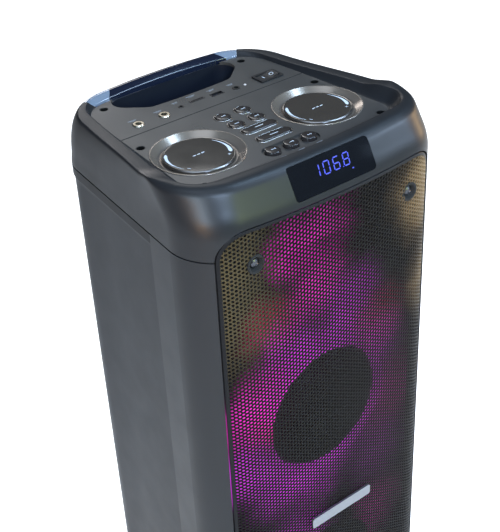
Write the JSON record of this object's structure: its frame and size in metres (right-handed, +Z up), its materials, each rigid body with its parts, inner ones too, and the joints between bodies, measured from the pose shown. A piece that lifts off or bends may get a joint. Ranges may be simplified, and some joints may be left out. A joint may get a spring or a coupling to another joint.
{
  "type": "party speaker",
  "caption": "Tall party speaker with bowed steel grille, two woofers, horn, sunken top control panel with knobs, keys and sockets, sloping display and a grab handle in the rear rim.",
  "frame": {"origin": "centre of the footprint on the floor", "axes": "+Z up, -Y towards the listener (grille side), +X to the listener's right as they face the grille"},
  "size_m": [0.292, 0.2976, 0.8445],
  "materials": {
    "cap_plastic": "satin black, very fine texture",
    "cabinet_plastic": "satin black, fine texture",
    "side_plastic": "grey-black flat panel, fine grain",
    "panel_plastic": "satin dark grey",
    "handle_gloss": "polished blue-black",
    "grille_steel": "satin black powder coat, punched steel",
    "screw_steel": "bright screws",
    "dark_steel": "black oxide screws",
    "badge_metal": "plain bright badge",
    "display_glass": "smoked window",
    "display_board": "display module",
    "knob_gloss": "polished black",
    "bezel_chrome": "dark mirror chrome",
    "button_gloss": "gloss black keys",
    "ring_chrome": "bright rings",
    "circuit_board": "green circuit board",
    "battery_wrap": "shrink-wrapped pack",
    "socket_metal": "plated socket",
    "socket_black": "black socket body",
    "port_steel": "plated steel",
    "switch_plastic": "black switch",
    "baffle_board": "black painted board",
    "cone_paper": "black pressed paper",
    "surround_rubber": "rubber half roll",
    "basket_steel": "black pressed steel",
    "magnet_ferrite": "ferrite and steel motor",
    "coil_copper": "copper winding on former",
    "led_diffuser": "lit magenta diffuser",
    "horn_plastic": "black horn"
  },
  "bodies": {
    "cabinet": {"amplifier_board": "circuit_board", "aux_jack": "socket_black", "badge": "badge_metal", "base_plate": "cabinet_plastic", "bass_port": "cabinet_plastic", "battery_pack": "battery_wrap", "button_board": "circuit_board", "button_rings": "ring_chrome", "card_slot": "port_steel", "charging_socket": "socket_black", "control_panel": "panel_plastic", "display_module": "display_board", "display_window": "display_glass", "front_baffle": "baffle_board", "front_frame": "cap_plastic", "grille": "grille_steel", "grille_screws": "screw_steel", "handle_bar": "handle_gloss", "handle_cup": "handle_gloss", "led_ring_lower": "led_diffuser", "led_ring_upper": "led_diffuser", "left_side_panel": "side_plastic", "mic_jack_1": "socket_metal", "mic_jack_2": "socket_metal", "mic_knob_bezel": "bezel_chrome", "mic_knob_encoder": "socket_black", "panel_screws": "dark_steel", "power_switch_frame": "switch_plastic", "rear_cabinet": "cabinet_plastic", "right_side_panel": "side_plastic", "rubber_feet": "surround_rubber", "top_cap": "cap_plastic", "tweeter_horn": "horn_plastic", "usb_port": "port_steel", "volume_knob_bezel": "bezel_chrome", "volume_knob_encoder": "socket_black", "woofer_lower_basket": "basket_steel", "woofer_lower_magnet": "magnet_ferrite", "woofer_lower_surround": "surround_rubber", "woofer_upper_basket": "basket_steel", "woofer_upper_magnet": "magnet_ferrite", "woofer_upper_surround": "surround_rubber"},
    "mic_knob": {"mic_knob": "knob_gloss", "mic_knob_shaft": "port_steel"},
    "volume_knob": {"volume_knob": "knob_gloss", "volume_knob_shaft": "port_steel"},
    "bar_button_1": {"bar_button_1": "button_gloss"},
    "bar_button_2": {"bar_button_2": "button_gloss"},
    "menu_button_1": {"menu_button_1": "button_gloss"},
    "menu_button_2": {"menu_button_2": "button_gloss"},
    "menu_button_3": {"menu_button_3": "button_gloss"},
    "round_button_1": {"round_button_1": "button_gloss"},
    "round_button_2": {"round_button_2": "button_gloss"},
    "round_button_3": {"round_button_3": "button_gloss"},
    "round_button_4": {"round_button_4": "button_gloss"},
    "power_rocker": {"power_rocker": "switch_plastic"},
    "woofer_upper_cone": {"woofer_upper_cone": "cone_paper", "woofer_upper_voice_coil": "coil_copper"},
    "woofer_lower_cone": {"woofer_lower_cone": "cone_paper", "woofer_lower_voice_coil": "coil_copper"}
  },
  "joints": [
    {"name": "mic_knob_turn", "type": "hinge", "parent": "cabinet", "child": "mic_knob", "pos_m": [-0.0719, -0.035, 0.832], "axis": [0, 0, 1], "continuous": true},
    {"name": "volume_knob_turn", "type": "hinge", "parent": "cabinet", "child": "volume_knob", "pos_m": [0.0719, -0.035, 0.832], "axis": [0, 0, 1], "continuous": true},
    {"name": "bar_button_1_press", "type": "slide", "parent": "cabinet", "child": "bar_button_1", "axis": [0, 0, -1], "range_m": [0, 0.001], "stiffness_N_per_m": 400},
    {"name": "bar_button_2_press", "type": "slide", "parent": "cabinet", "child": "bar_button_2", "axis": [0, 0, -1], "range_m": [0, 0.001], "stiffness_N_per_m": 400},
    {"name": "menu_button_1_press", "type": "slide", "parent": "cabinet", "child": "menu_button_1", "axis": [0, 0, -1], "range_m": [0, 0.001], "stiffness_N_per_m": 400},
    {"name": "menu_button_2_press", "type": "slide", "parent": "cabinet", "child": "menu_button_2", "axis": [0, 0, -1], "range_m": [0, 0.001], "stiffness_N_per_m": 400},
    {"name": "menu_button_3_press", "type": "slide", "parent": "cabinet", "child": "menu_button_3", "axis": [0, 0, -1], "range_m": [0, 0.001], "stiffness_N_per_m": 400},
    {"name": "round_button_1_press", "type": "slide", "parent": "cabinet", "child": "round_button_1", "axis": [0, 0, -1], "range_m": [0, 0.001], "stiffness_N_per_m": 400},
    {"name": "round_button_2_press", "type": "slide", "parent": "cabinet", "child": "round_button_2", "axis": [0, 0, -1], "range_m": [0, 0.001], "stiffness_N_per_m": 400},
    {"name": "round_button_3_press", "type": "slide", "parent": "cabinet", "child": "round_button_3", "axis": [0, 0, -1], "range_m": [0, 0.001], "stiffness_N_per_m": 400},
    {"name": "round_button_4_press", "type": "slide", "parent": "cabinet", "child": "round_button_4", "axis": [0, 0, -1], "range_m": [0, 0.001], "stiffness_N_per_m": 400},
    {"name": "power_rocker_tilt", "type": "hinge", "parent": "cabinet", "child": "power_rocker", "pos_m": [0.08, 0.0515, 0.8309], "axis": [0, 1, 0], "range_deg": [0, 14]},
    {"name": "woofer_upper_stroke", "type": "slide", "parent": "cabinet", "child": "woofer_upper_cone", "axis": [0, -1, 0], "range_m": [-0.003, 0.003], "stiffness_N_per_m": 2200, "deforming": ["woofer_upper_surround"]},
    {"name": "woofer_lower_stroke", "type": "slide", "parent": "cabinet", "child": "woofer_lower_cone", "axis": [0, -1, 0], "range_m": [-0.003, 0.003], "stiffness_N_per_m": 2200, "deforming": ["woofer_lower_surround"]}
  ]
}
